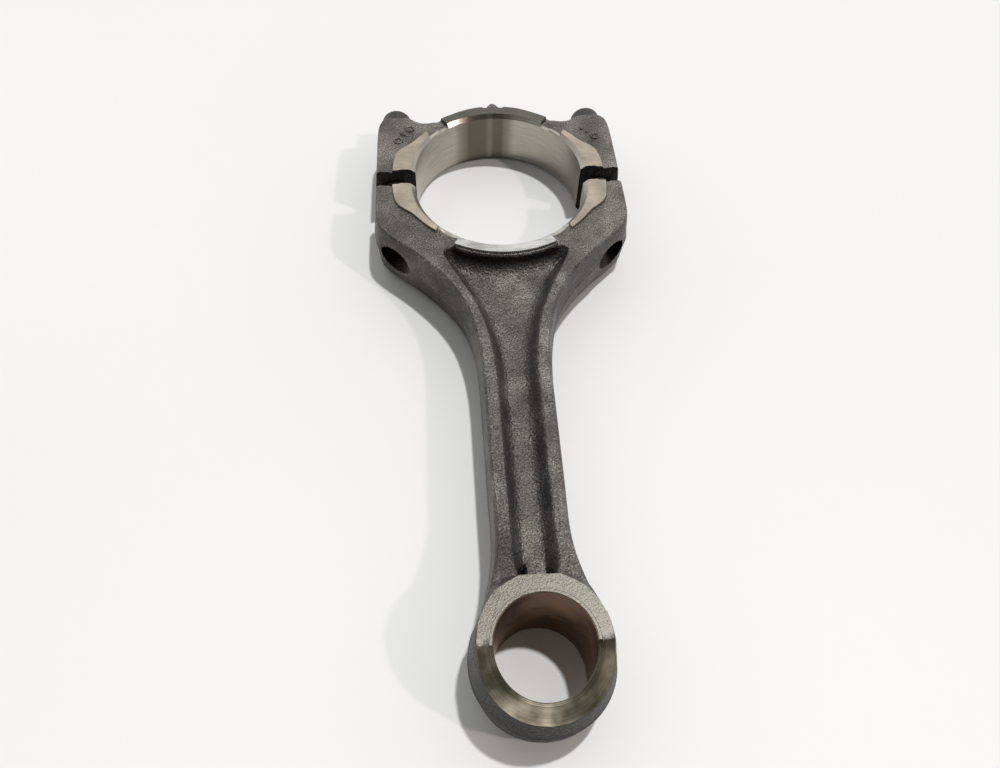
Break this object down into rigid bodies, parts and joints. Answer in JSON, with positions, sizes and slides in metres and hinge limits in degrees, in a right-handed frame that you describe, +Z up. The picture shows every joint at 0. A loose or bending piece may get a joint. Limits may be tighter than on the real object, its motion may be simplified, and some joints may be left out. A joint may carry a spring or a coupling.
{
  "type": "connecting rod",
  "caption": "Car engine connecting rod lying on its side: forged I-section rod, cracked-off bearing cap held by slackened cap screws, bronze bush in the tapered small end.",
  "frame": {"origin": "middle of the underside of the bounding box, with the rod lying on its side", "axes": "+Y along the rod from the small end to the cap, +X across the rod, +Z up, parallel to both bores"},
  "size_m": [0.0792, 0.205, 0.0235],
  "materials": {
    "forged_steel": "shot-peened forging with ground and bored faces",
    "phosphated_steel": "black phosphated",
    "bush_bronze": "turned and bored bronze"
  },
  "bodies": {
    "rod": {"rod_body": "forged_steel", "small_end_bush": "bush_bronze"},
    "cap": {"bearing_cap": "forged_steel"},
    "left_screw": {"cap_screw_left": "phosphated_steel"},
    "right_screw": {"cap_screw_right": "phosphated_steel"}
  },
  "joints": [
    {"name": "cap_slide", "type": "slide", "parent": "rod", "child": "cap", "axis": [0, 1, 0], "range_m": [-0.00635, 0.0135]},
    {"name": "left_screw_turn", "type": "hinge", "parent": "cap", "child": "left_screw", "pos_m": [-0.033, 0.09355, 0.01175], "axis": [0, 1, 0], "range_deg": [-2286, 4860]},
    {"name": "right_screw_turn", "type": "hinge", "parent": "cap", "child": "right_screw", "pos_m": [0.033, 0.09355, 0.01175], "axis": [0, 1, 0], "range_deg": [-2286, 4860]}
  ],
  "couplings": [
    {"joint": "left_screw_turn", "follows": "cap_slide", "rad_per_m": 6283.2},
    {"joint": "right_screw_turn", "follows": "cap_slide", "rad_per_m": 6283.2}
  ]
}
